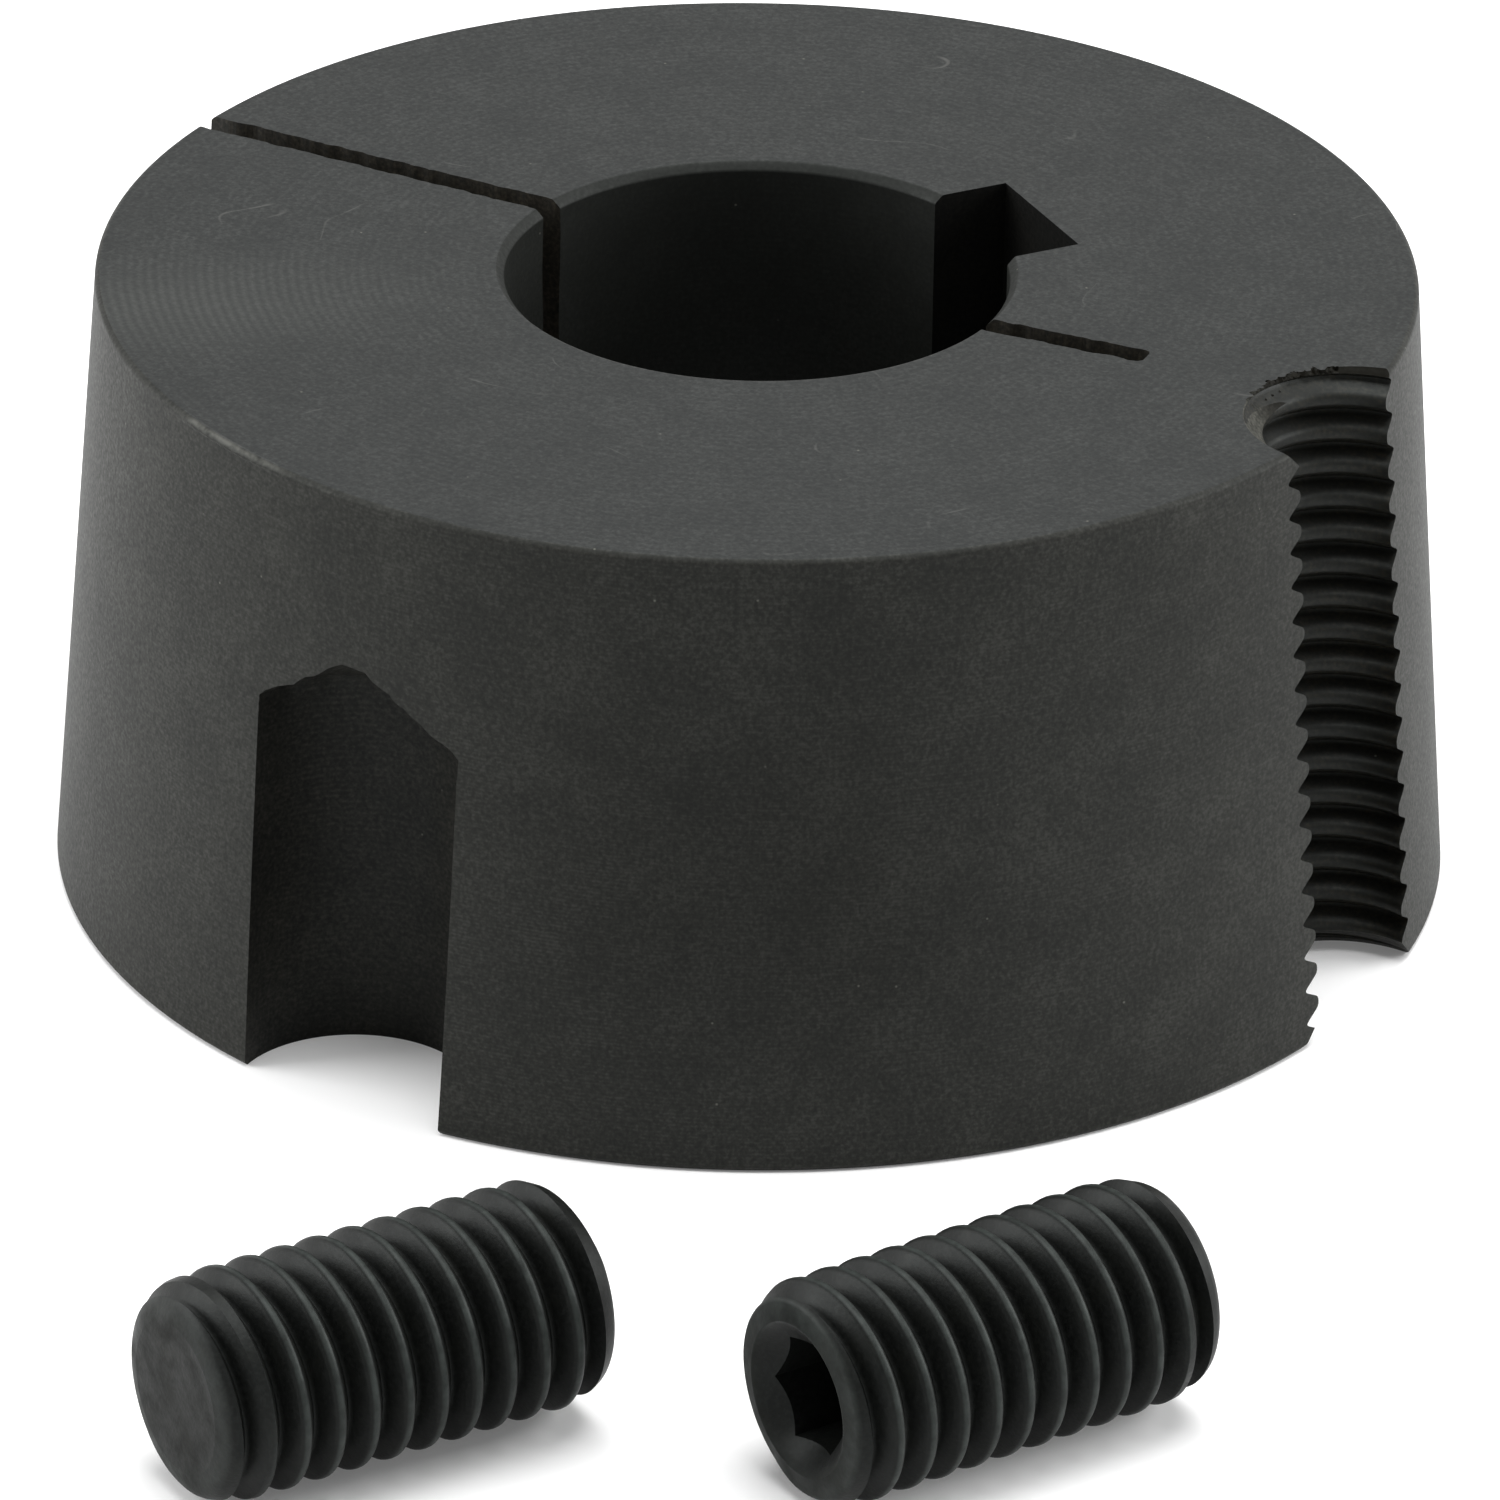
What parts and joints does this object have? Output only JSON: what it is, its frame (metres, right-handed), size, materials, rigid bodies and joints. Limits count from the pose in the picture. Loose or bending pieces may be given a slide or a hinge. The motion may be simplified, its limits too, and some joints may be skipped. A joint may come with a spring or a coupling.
{
  "type": "taper bush",
  "caption": "Split taper bush that clamps a hub to a keyed shaft: tapered outside, keyed bore, half-holes for grub screws, which lie beside it.",
  "frame": {"origin": "centre of the large-end face, on the bore axis; the bush stands on this face", "axes": "+Z along the bore towards the small end, +X through the threaded jacking half-hole, with the split at -X"},
  "size_m": [0.0827, 0.108, 0.0318],
  "materials": {
    "phosphated_iron": "matt grey-black phosphate coating on turned cast iron",
    "blackened_steel": "black oxide on rolled alloy steel, with an oily sheen on the thread"
  },
  "bodies": {
    "root": {"bush": "phosphated_iron", "grub_screw_left": "blackened_steel", "grub_screw_right": "blackened_steel"}
  },
  "joints": []
}
